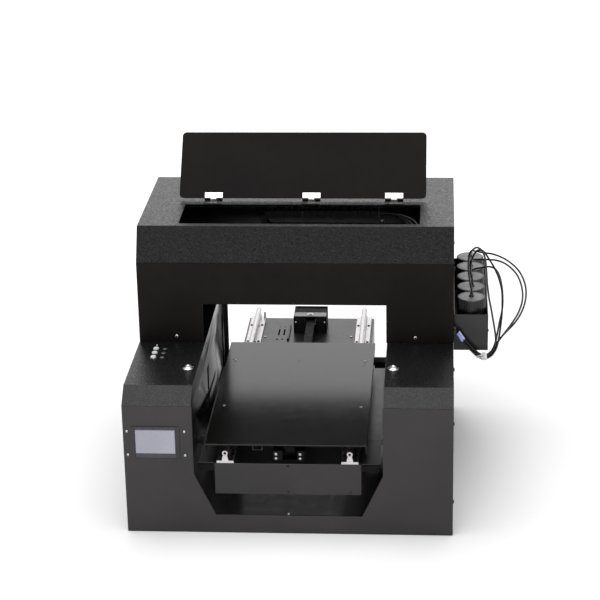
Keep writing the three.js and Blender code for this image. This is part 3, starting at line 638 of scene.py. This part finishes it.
# ---------------------------------------------------------------- controls
def add_screen():
    low, high = span("screen_bezel")
    glass_low, glass_high = span("screen_glass")
    opening = ((low.x + 7, high.x - 7), (low.z + 2.2, high.z - 2.2))
    flange = block((low.x, high.x), (low.y - 0.3, -0.3), (low.z, high.z), 0.5, 2)
    flange = carve(flange, block(opening[0], (low.y - 3, 2), opening[1], 0))
    round_edges(flange, 0.3, 1, where=lambda edge: all(
        v.co.y < low.y and low.x + 1 < v.co.x < high.x - 1 for v in edge.verts))
    piece(
        "screen_bezel_flange", flange, FINISHES["smooth_black"], BODY_OF["screen_bezel"],
        ["screen_bezel"],
    )
    mask = block(
        (opening[0][0] + 0.2, opening[0][1] - 0.2), (-0.7, 3),
        (opening[1][0] + 0.2, opening[1][1] - 0.2), 0.3)
    mask = carve(mask, block(
        (glass_low.x - 0.2, glass_high.x + 0.2), (-3, 0.2),
        (glass_low.z - 0.2, glass_high.z + 0.2), 0))
    trim("screen_mask", "screen_bezel", mask, "plastic_black", DARK_MASK)
    pane = block((glass_low.x, glass_high.x), (-0.3, 4), (glass_low.z, glass_high.z), 0.25)
    stand_in("screen_glass", pane, "pane")
    screws = bmesh.new()
    add(screws, socket_screw(2.6, 1.5), *(
        there(x, 0, z, FORWARD) for x in (-317, -203) for z in (169, 220)))
    trim("screen_screws", "screen_bezel", screws, "steel")


def add_buttons():
    """Domed metal push buttons in their collars, three bright keys and three dim lamps."""
    top = span("left_tower_cover")[1].z
    collars = bmesh.new()
    for side in ("left", "right"):
        node = f"push_button_{side}"
        low, high = span(node)
        place = there((low.x + high.x) / 2, (low.y + high.y) / 2, top)
        dome = turned([
            (0, -15), (6.2, -15), (6.2, -4), (8.2, -4), (8.2, 2.6), (7.9, 3.1), (6.9, 3.7), (5.6, 4.0),
            (5.2, 4.6), (4.6, 6.2), (3.2, 7.4), (1.4, 8.0), (0, 8.1),
        ], 48)
        stand_in(node, add(bmesh.new(), dome, place), "dome")
        add(collars, turned([
            (8.6, -6), (9.3, -6), (9.3, 0.1), (11.4, 0.1), (11.6, 0.5), (11.3, 1.5), (10.2, 2.3),
            (9.1, 2.3), (8.6, 1.6), (8.6, -6),
        ], 48), place)
    trim("push_button_collars", "left_tower_cover", collars, "chrome")

    keys = [f"panel_button_{index}" for index in (1, 2, 3)]
    rims, lamps = bmesh.new(), bmesh.new()
    for node in keys:
        low, high = span(node)
        middle = (low + high) / 2
        key = turned([(0, -6), (5.8, -6), (5.8, 1.2), (5.5, 1.9), (4.4, 2.4), (2.2, 2.6), (0, 2.7)], 40)
        add(key, turned([(0, 2.4), (4.9, 2.4), (4.9, 2.9), (4.5, 3.2), (0, 3.3)], 40))
        stand_in(node, add(bmesh.new(), key, there(middle.x, middle.y, top)), "cap", PALE_KEY)
        add(rims, turned([(6.0, -1), (6.5, -1), (6.9, 0.1), (6.8, 0.5), (6.1, 0.6), (6.0, -1)], 40),
            there(middle.x, middle.y, top))
        add(lamps, turned([(0, -1), (4.6, -1), (4.6, 0.3), (3.8, 1.0), (2, 1.4), (0, 1.5)], 32),
            there(middle.x + 18, middle.y, top))
    trim("key_rims", "left_tower_cover", rims, "steel")
    trim("indicator_lamps", "left_tower_cover", lamps, "plastic_black", DIM_LAMP)
    sensor = turned([(0, -1), (2.4, -1), (2.4, 0.3), (1.6, 0.9), (0, 1.0)], 24)
    trim("light_sensor", "left_tower_cover", add(bmesh.new(), sensor, there(-286, 246, top)), "steel")


# ---------------------------------------------------------------- bed
BED_SCREWS = [(-147, 442), (137, 441), (-146, 197), (137, 197)]
BED_HOLES = [(-145, 431, 1.9), (-147, 412, 1.9), (136, 429, 1.9), (135, 412, 1.9), (134, 222, 1.2)]
BED_PINS = [(-106, 446, 1.7), (-7, 440, 1.9), (96, 445, 1.5), (-6, 306, 1.6)]


def add_bed():
    low, high = span("bed_plate")
    plate = bare("bed_plate")
    holes = bmesh.new()
    for x, y, radius in BED_HOLES + BED_PINS:
        add(holes, turned([(0, -5), (radius, -5), (radius, 1), (0, 1)], 20), there(x, y, high.z))
    for x, y in BED_SCREWS:
        add(holes, turned([(0, -2), (4.4, -2), (4.4, 1), (0, 1)], 28), there(x, y, high.z))
    plate = carve(round_edges(plate, 0.7, 3, where=lambda edge: edge.calc_length() > 9), holes)
    stand_in("bed_plate", plate)
    screws = bmesh.new()
    add(screws, socket_screw(4.0, 2.2), *(there(x, y, high.z - 2) for x, y in BED_SCREWS))
    trim("bed_screws", "bed_plate", screws, "steel")
    for row in ("front", "rear"):
        for side in ("left", "right"):
            add_bearing_block(f"bearing_block_{row}_{side}")


def add_bearing_block(node):
    """The finished block, with its two grease screws and black end plates that are partly its end seals and partly
    painted shade on its end faces.
    """
    low, high = span(node)
    body = bare(node)
    round_edges(body, 0.5, 2, where=lambda edge: edge.calc_length() > 9)
    middle = (low.x + high.x) / 2
    add(body, socket_screw(3, 2), *(
        there(middle + dx, y, high.z - 7, turn)
        for dx in (-14, 14) for y, turn in ((low.y, FORWARD), (high.y, BACKWARD))
    ))
    stand_in(node, body)
    # black plates over the whole end faces: the end seals, and painted shade where the faces lie in the bed's
    # shadow
    seals_and_shade = bmesh.new()
    for y in (low.y, high.y):
        plate = bare(node)
        bmesh.ops.translate(plate, vec=(0, -(low.y + high.y) / 2, 0), verts=plate.verts)
        bmesh.ops.scale(plate, vec=(1, 1.4 / (high.y - low.y), 1), verts=plate.verts)
        add(seals_and_shade, plate, there(0, y, 0))
    trim(f"{node}_seals", node, seals_and_shade, "rubber", MATT_BLACK_AND_SHADE)


# ---------------------------------------------------------------- rails and platform
RAIL_SHAFT = {"radius": 6, "height": 21}
RAIL_FOOT = [
    (-17, 0), (17, 0), (17, 4.4), (16.4, 5), (7.4, 5), (6.4, 6), (5.7, 10), (5, 13.4), (3.8, 16.5), (-3.8, 16.5),
    (-5, 13.4), (-5.7, 10), (-6.4, 6), (-7.4, 5), (-16.4, 5), (-17, 4.4),
]
RAIL_BOLT_PITCH = 100


def add_rails():
    bolts, bore_shade = bmesh.new(), bmesh.new()
    for side in ("left", "right"):
        node = f"bed_rail_{side}"
        low, high = span(node)
        middle, length = (low.x + high.x) / 2, high.y - low.y
        rail = slab(RAIL_FOOT, length, 0.25)
        shaft = turned([
            (0, 7), (2.6, 7), (2.6, 0.4), (3, 0), (5.4, 0), (6, 0.6), (6, length - 0.6), (5.4, length), (3, length),
            (2.6, length - 0.4), (2.6, length - 7), (0, length - 7),
        ], 40)
        add(rail, shaft, there(0, RAIL_SHAFT["height"], 0))
        # painted shade: black plugs in the shaft end recesses stand for the shade inside them
        for end in (0.5, length - 3.5):
            add(bore_shade, turned([(0, 0), (2.7, 0), (2.7, 3), (0, 3)], 24), there(middle, high.y, low.z, FORWARD)
                @ there(0, RAIL_SHAFT["height"], end))
        whole = add(bmesh.new(), rail, there(middle, high.y, low.z, FORWARD))
        stand_in(node, whole)
        count = int((length - 40) // RAIL_BOLT_PITCH) + 1
        places = [low.y + 30 + RAIL_BOLT_PITCH * i for i in range(count)]
        add(bolts, socket_screw(3.2, 1.6), *(
            there(middle + dx, y, low.z + 5) for y in places for dx in (-12, 12)))
    trim("rail_bolts", "bed_rail_left", bolts, "motor_black", BLACK_STEEL_AND_SHADE)
    trim("rail_end_painted_shade", "bed_rail_left", bore_shade, "rubber", MATT_BLACK_AND_SHADE)


SLOTS_X, SLOTS_Y = (-73, -61), (704, 742)
WING_SEAM_Y = 135


def add_platform():
    low, high = span("lift_table")
    table = formed("lift_table")
    tools = bmesh.new()
    for x in SLOTS_X:
        add(tools, block((x - 2.4, x + 2.4), SLOTS_Y, (high.z - 4, high.z + 1), 2))
        add(tools, turned([(0, -4), (1.9, -4), (1.9, 1), (0, 1)], 20), there(x, SLOTS_Y[1] + 14, high.z))
        add(tools, turned([(0, -4), (3, -4), (3, 1), (0, 1)], 20), there(x - 2, SLOTS_Y[0] - 24, high.z))
    for x in ((low.x - 1, -150), (145, high.x + 1)):
        add(tools, block(x, (WING_SEAM_Y - 0.8, WING_SEAM_Y + 0.8), (high.z - 1.2, high.z + 1), 0))
    stand_in("lift_table", carve(table, tools))

    screws = bmesh.new()
    add(screws, socket_screw(2.2, 1.2), *(
        there(x, low.y, z, FORWARD) for x, z in ((-2, high.z - 5), (-2, low.z + 6), (122, low.z + 6))))
    add(screws, block((-52, -47), (672, 758), (high.z, high.z + 5), 1))
    trim("platform_screws", "lift_table", screws, "motor_black", BLACK_STEEL_AND_SHADE)
    # painted shade: black strips over the wings' front flanges stand for the shade on those flanges
    shade_strips = bmesh.new()
    for x in ((low.x + 0.5, -149), (143.5, high.x - 0.5)):
        add(shade_strips, block(x, (low.y - 0.9, low.y + 1), (high.z - 15.4, high.z - 2), 0.4))
    trim("wing_painted_shade_strips", "lift_table", shade_strips, "rubber", MATT_BLACK_AND_SHADE)
    bright = bmesh.new()
    add(bright, socket_screw(3.2, 2), *(there(x, y, high.z) for x, y in ((-103, 692), (94.5, 696))))
    add(bright, turned([(0, 0), (2.2, 0), (2.2, 17), (1.4, 18), (0, 18)], 20), there(-113, 806, high.z))
    trim("platform_posts", "lift_table", bright, "steel")


def add_belt_idler():
    """The idler bracket under the front of the bed, with two pairs of bright screws."""
    top = span("lift_table")[1].z
    drive = span("bed_belt")
    front = drive[0].y - 14
    carrier = bmesh.new()
    for x in ((-33, -13), (16, 31)):
        add(carrier, block(x, (front, front + 26), (top, top + 24), 0.8))
    add(carrier, block((-33, 31), (front + 2, front + 24), (top, top + 3), 0.5))
    trim("belt_idler_carrier", "lift_table", carrier, "motor_black", MATT_BLACK_AND_SHADE)
    metal = bmesh.new()
    add(metal, socket_screw(3.1, 2.2), *(
        there(x, front, top + height, FORWARD) for x in (-26, 22) for height in (7.5, 17)))
    axle_y, axle_z = drive[0].y + 13.7, (drive[0].z + drive[1].z) / 2
    wheel = turned([(0, 0), (11.6, 0), (11.6, 17), (0, 17)], 32)
    trim("belt_idler_wheel", "lift_table", add(
        bmesh.new(), wheel, there(-7.2, axle_y, axle_z, RIGHTWARD)), "motor_black", BLACK_STEEL_AND_SHADE)
    trim("belt_idler_screws", "lift_table", metal, "steel")
    clip = bmesh.new()
    bed = span("bed_plate")
    for x in (-71, -52.5):
        add(clip, block((x, x + 2), (bed[0].y + 4, bed[0].y + 12), (bed[1].z - 13, bed[1].z - 3.4), 0.3))
    add(clip, block((-71, -50.5), (bed[0].y + 4, bed[0].y + 12), (bed[1].z - 14, bed[1].z - 12.6), 0.3))
    trim("bed_front_clip", "bed_plate", clip, "motor_black", BLACK_STEEL_AND_SHADE)


def add_bed_drive():
    """Motor, toothed pulley and bracket at the rear of the platform."""
    low, high = span("bed_motor_bracket")
    stand_in("bed_motor_bracket", round_edges(
        bare("bed_motor_bracket"), 0.8, 3, where=lambda e: e.calc_length() > 4), material=MATT_BLACK_AND_SHADE)
    strip = slab(rounded_bar(low.x + 1, high.x - 1, low.y + 1, low.y + 25, 3), 1.2, 0.3)
    body = add(bmesh.new(), strip, there(0, 0, high.z - 2.5))
    trim("bracket_strip", "bed_motor_bracket", body, "smooth_black", GREY_STRIP_AND_HIGHLIGHT)
    bolt = bmesh.new()
    middle = (low.x + high.x) / 2
    add(bolt, washer(7, 2.6, 1.2), there(middle, low.y + 12, high.z - 1.3))
    add(bolt, socket_screw(4.4, 2.1), there(middle, low.y + 12, high.z - 0.1))
    add(bolt, socket_screw(2.6, 1.6), *(there(x, low.y, 168, FORWARD) for x in (low.x + 5, high.x - 5)))
    trim("bracket_bolt", "bed_motor_bracket", bolt, "steel")
    ribs = bmesh.new()
    for x0, x1 in ((low.x + 3, -9.5), (12.5, high.x - 3)):
        add(ribs, block((x0, x1), (low.y + 1, low.y + 3), (low.z, high.z - 5.6), 0.3))
        count = 4
        for i in range(count):
            x = x0 + (x1 - x0) * (i + 0.5) / count
            add(ribs, block((x - 0.9, x + 0.9), (low.y - 0.2, low.y + 2), (low.z + 1, high.z - 6), 0.4))
    trim("bracket_ribs", "bed_motor_bracket", ribs, "motor_black")
    stand_in("bed_motor", round_edges(bare("bed_motor"), 1.2, 3, where=lambda e: e.calc_length() > 9))
    pulley = span("bed_drive_pulley")
    wheel = toothed_wheel(12, 18, pulley[1].x - pulley[0].x)
    centre = (pulley[0] + pulley[1]) / 2
    stand_in("bed_drive_pulley", add(bmesh.new(), wheel, there(pulley[0].x, centre.y, centre.z, RIGHTWARD)))
    stand_in("bed_belt", round_edges(bare("bed_belt"), 0.25, 1, 60), material=MATT_BLACK_AND_SHADE)


def rounded_bar(x0, x1, y0, y1, radius):
    """An outline with round corners."""
    corners = ((x1 - radius, y1 - radius, 0), (x0 + radius, y1 - radius, 90),
               (x0 + radius, y0 + radius, 180), (x1 - radius, y0 + radius, 270))
    return [
        (x + radius * cos(radians(start + step * 15)), y + radius * sin(radians(start + step * 15)))
        for x, y, start in corners for step in range(7)
    ]


def toothed_wheel(radius, teeth, width, bore=3.0):
    """A timing pulley: teeth round its rim, and a bore."""
    outline = []
    for tooth in range(teeth):
        for share, height in ((0.0, 0), (0.1, 0), (0.25, -1.1), (0.75, -1.1), (0.9, 0)):
            angle = 2 * pi * (tooth + share) / teeth
            outline.append(((radius + height) * cos(angle), (radius + height) * sin(angle)))
    wheel = slab(outline, width)
    return carve(wheel, turned([(0, -1), (bore, -1), (bore, width + 1), (0, width + 1)], 24))


# ---------------------------------------------------------------- lift drive
def add_lift():
    for row in ("front", "rear"):
        stand_in(f"{row}_crossbar", round_edges(
            bare(f"{row}_crossbar"), 0.6, 2, where=lambda e: e.calc_length() > 6))
        for side in ("left", "right"):
            add_lead_screw(f"lead_screw_{row}_{side}")
    stand_in("lift_motor", round_edges(bare("lift_motor"), 1.2, 3, where=lambda e: e.calc_length() > 9))
    stand_in("lift_belt", round_edges(bare("lift_belt"), 0.25, 1, 60))


def add_lead_screw(node, pitch=2.5):
    """A trapezoidal thread above its toothed wheel."""
    low, high = span(node)
    start, end = 24, high.z - low.z - 8
    profile = [(0, 0), (4.6, 0), (5, 0.4), (5, 5.7), (13.4, 5.7), (14, 6.3), (14, 16.1), (13.4, 16.7), (5, 16.7)]
    for turn in range(int((end - start) / pitch)):
        z = start + turn * pitch
        profile += [(5, z), (5, z + pitch * 0.4), (4.1, z + pitch * 0.55), (4.1, z + pitch * 0.85)]
    profile += [(5, end), (5, high.z - low.z - 0.6), (4.4, high.z - low.z), (0, high.z - low.z)]
    middle = (low + high) / 2
    stand_in(node, add(bmesh.new(), turned(profile, 20), there(middle.x, middle.y, low.z)))


# ---------------------------------------------------------------- print carriage
def add_carriage():
    for node, radius in (
        ("carriage_beam", 1.0), ("carriage_motor", 1.2), ("carriage", 0.6), ("print_head", 1.2), ("uv_lamp", 0.8),
    ):
        stand_in(node, round_edges(bare(node), radius, 3, where=lambda edge: edge.calc_length() > 9))
    low, high = span("uv_lamp")
    fins = bmesh.new()
    for i in range(9):
        y = low.y + 12 + i * 11
        add(fins, block((low.x + 3, high.x - 3), (y, y + 2), (high.z - 1, high.z + 0.2), 0.2))
    trim("uv_lamp_fins", "uv_lamp", fins, "aluminium")
    low, high = span("carriage_beam")
    bolts = bmesh.new()
    add(bolts, socket_screw(2.6, 1.4), *(
        there(x, low.y, low.z + 24, FORWARD) for x in range(-290, 300, 58)))
    trim("beam_rail_bolts", "carriage_beam", bolts, "steel")


CHAIN_PITCH = 14
CHAIN_TOP_END = 168


def chain_link():
    """One link: two side plates, two crossbars and a hollow between, lying along X."""
    link = bmesh.new()
    for y in ((-12, -9.6), (9.6, 12)):
        add(link, block((-6.6, 6.6), y, (-7.5, 7.5), 0.8))
    for z in ((-7.5, -5.6), (5.6, 7.5)):
        add(link, block((-3.6, 3.6), (-10, 10), z, 0.5))
    return link


def add_cable_chain():
    low, high = span("cable_chain")
    middle_y, middle_z = (low.y + high.y) / 2, (low.z + high.z) / 2
    radius = (high.z - low.z) / 2 - 7.5
    bend_x = low.x + radius + 7.5
    places = []
    for i in range(int((high.x - bend_x) / CHAIN_PITCH)):
        places.append(there(bend_x + CHAIN_PITCH * (i + 0.5), middle_y, middle_z - radius))
    for i in range(int((CHAIN_TOP_END - bend_x) / CHAIN_PITCH)):
        places.append(there(bend_x + CHAIN_PITCH * (i + 0.5), middle_y, middle_z + radius))
    count = 4
    for i in range(count):
        angle = pi / 2 + pi * (i + 0.5) / count
        turn = Matrix.Rotation(pi / 2 - angle, 4, "Y")
        places.append(there(bend_x + radius * cos(angle), middle_y, middle_z + radius * sin(angle), turn))
    stand_in("cable_chain", add(bmesh.new(), chain_link(), *places), "links")
    ends = bmesh.new()
    add(ends, block(
        (CHAIN_TOP_END - 3, CHAIN_TOP_END), (middle_y - 12, middle_y + 12), (high.z - 15, high.z), 0.6))
    add(ends, block((5, 7), (low.y - 1, low.y), (high.z - 14, high.z - 1), 0.3))
    add(ends, socket_screw(2.6, 2.4), there(CHAIN_TOP_END + 6, middle_y - 14, high.z - 20, FORWARD))
    trim("chain_plates", "cable_chain", ends, "steel")
    for i, (bow, drop) in enumerate(((34, 0), (22, 5), (10, 9))):
        course = [
            (CHAIN_TOP_END - 12, middle_y - 6 + 6 * i, high.z - 8),
            (CHAIN_TOP_END + 20, middle_y - 8 + 4 * i, high.z - 6),
            (CHAIN_TOP_END + 52, middle_y - 30, high.z - 4 - drop),
            (CHAIN_TOP_END + 62 + bow / 2, middle_y - 78 + bow / 3, high.z - 8 - drop),
            (CHAIN_TOP_END + 70 + bow / 2, middle_y - 118 + bow / 3, high.z - 30 - drop),
        ]
        hose = smooth_curve(f"chain_hose_{i + 1}", course, 2, FINISHES["rubber"])
        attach(hose, BODY_OF["cable_chain"])


# ---------------------------------------------------------------- ink rack
def ribbed_cap(radius, height, ribs=48):
    """A screw cap with ribs round its side and a rim round its top."""
    outline = []
    for rib in range(ribs):
        for share, depth in ((0.0, 0), (0.35, 0), (0.5, 0.7), (0.85, 0.7)):
            angle = 2 * pi * (rib + share) / ribs
            outline.append(((radius - depth) * cos(angle), (radius - depth) * sin(angle)))
    cap = slab(outline, height - 2)
    add(cap, turned([
        (0, 0), (radius, 0), (radius, 0.8), (radius - 1.2, 1.9), (radius - 3, 2.0), (radius - 3.4, 1.6), (0, 1.6),
    ], 64), there(0, 0, height - 2.0))
    return cap


def add_bottles():
    fittings, faces, caps = bmesh.new(), bmesh.new(), bmesh.new()
    for tube in range(5):
        node = f"ink_bottle_{tube + 1}"
        low, high = span(node)
        middle = (low + high) / 2
        place = there(middle.x, middle.y, low.z)
        height = high.z - low.z
        shoulder = height - 34
        body = turned([
            (0, 1.2), (22, 0.4), (25.6, 0), (26.8, 0.7), (27.5, 2.4), (27.5, shoulder - 3), (27, shoulder + 0.5),
            (25.6, shoulder + 3.6), (24.2, shoulder + 4.6), (24, shoulder + 5.6), (26.2, shoulder + 6.2),
            (26.4, shoulder + 7.4), (24.4, shoulder + 8), (24.2, shoulder + 10), (0, shoulder + 10),
        ], 64)
        stand_in(node, add(bmesh.new(), body, place), "body")
        cap_height = height - shoulder - 9
        add(caps, ribbed_cap(29.2, cap_height), there(middle.x, middle.y, low.z + shoulder + 9))
        # painted reflection: a lighter grey disc on each cap top stands for the light the flat top reflects
        face = turned([(0, 0), (25.4, 0), (25.4, 0.25), (24.8, 0.5), (0, 0.5)], 64)
        add(faces, face, there(middle.x, middle.y, high.z - 0.4))
        start = tube_route(tube)[0]
        add(fittings, turned([
            (2.2, 0), (5.2, 0), (5.2, 2.4), (4.4, 3.0), (3.4, 3.2), (3.2, 8.4), (2.6, 9), (2.2, 9), (2.2, 0),
        ], 28), there(start[0], start[1], high.z))
    trim("bottle_caps", "ink_bottle_1", caps, "bottle_black")
    trim("cap_painted_reflections", "ink_bottle_1", faces, "bottle_black", CAP_REFLECTION)
    trim("cap_fittings", "ink_bottle_1", fittings, "plastic_black")
    rack_low, rack_high = span("ink_rack")
    screws = bmesh.new()
    add(screws, socket_screw(3, 1.6), *(
        there(rack_high.x, y, rack_low.z + 40, RIGHTWARD) for y in (rack_low.y + 12, rack_high.y - 12)))
    trim("rack_screws", "ink_rack", screws, "motor_black", BLACK_STEEL_AND_SHADE)


def add_tube_fittings():
    """The grommet where the tubes go in."""
    low, high = span("tube_grommet")
    middle = (low + high) / 2
    skin = span("right_side_cover")[1].x
    ring = turned([
        (0, 0), (6.5, 0), (6.5, skin - low.x + 0.3), (10, skin - low.x + 0.3), (10.5, skin - low.x + 0.8),
        (10.2, skin - low.x + 1.8), (9.2, skin - low.x + 2.3), (8.4, skin - low.x + 2.6), (8.2, skin - low.x + 3.2),
        (8.2, high.x - low.x - 0.5), (7.6, high.x - low.x), (0, high.x - low.x),
    ], 48)
    stand_in("tube_grommet", add(bmesh.new(), ring, there(low.x, middle.y, middle.z, RIGHTWARD)), "ring")


def add_power_inlet():
    inlet = round_edges(bare("power_inlet"), 0.5, 2, where=lambda edge: edge.calc_length() > 4)
    stand_in("power_inlet", inlet)
    low, high = span("power_inlet")
    middle = (low + high) / 2
    pins = bmesh.new()
    for x, z in ((-7, -2), (7, -2), (0, 3)):
        add(pins, block(
            (middle.x + x - 1, middle.x + x + 1), (high.y - 16, high.y - 4),
            (middle.z + z - 2.4, middle.z + z + 2.4), 0.4))
    trim("inlet_pins", "power_inlet", pins, "steel")
    screws = bmesh.new()
    add(screws, countersunk(2.6), *(
        there(x, high.y, middle.z, BACKWARD) for x in (low.x + 2.6, high.x - 2.6)))
    trim("inlet_screws", "power_inlet", screws, "steel")


# ---------------------------------------------------------------- studio
def add_studio():
    floor = bmesh.new()
    bmesh.ops.create_grid(floor, x_segments=1, y_segments=1, size=15)
    mesh = bpy.data.meshes.new("floor")
    floor.to_mesh(mesh)
    floor.free()
    plane = bpy.data.objects.new("floor", mesh)
    plane.location.z = -0.0005
    scene.collection.objects.link(plane)
    mesh.materials.append(surface("white_floor", (0.93, 0.93, 0.93), 0.9, specular=0.1))

    world = bpy.data.worlds.new("studio")
    world.use_nodes = True
    scene.world = world
    world.node_tree.nodes["Background"].inputs["Color"].default_value = (1, 1, 1, 1)
    world.node_tree.nodes["Background"].inputs["Strength"].default_value = 0.4
    for name, kind, place, aim, size, power in (
        ("overhead", "SUN", (-150, -120, 1500), (0, 0, 0), radians(72), 2.3),
        ("behind", "AREA", (0, 3600, 1750), (0, 300, 250), 3.2, 40),
        ("low_front", "AREA", (-200, -1700, 260), (0, 0, 60), 0.7, 9),
    ):
        lamp = bpy.data.lights.new(name, kind)
        lamp.energy = power
        if kind == "SUN":
            lamp.angle = size
        else:
            lamp.size = size
        holder = bpy.data.objects.new(name, lamp)
        scene.collection.objects.link(holder)
        holder.location = at(*place)
        holder.rotation_euler = (at(*aim) - at(*place)).to_track_quat("-Z", "Y").to_euler()
    scene.view_settings.view_transform = "Standard"


add_camera()
add_ink_tubes()
add_covers()
add_cover_screws()
add_hinges()
add_screen()
add_buttons()
add_bed()
add_rails()
add_platform()
add_belt_idler()
add_bed_drive()
add_lift()
add_carriage()
add_cable_chain()
add_bottles()
add_tube_fittings()
add_power_inlet()
add_studio()
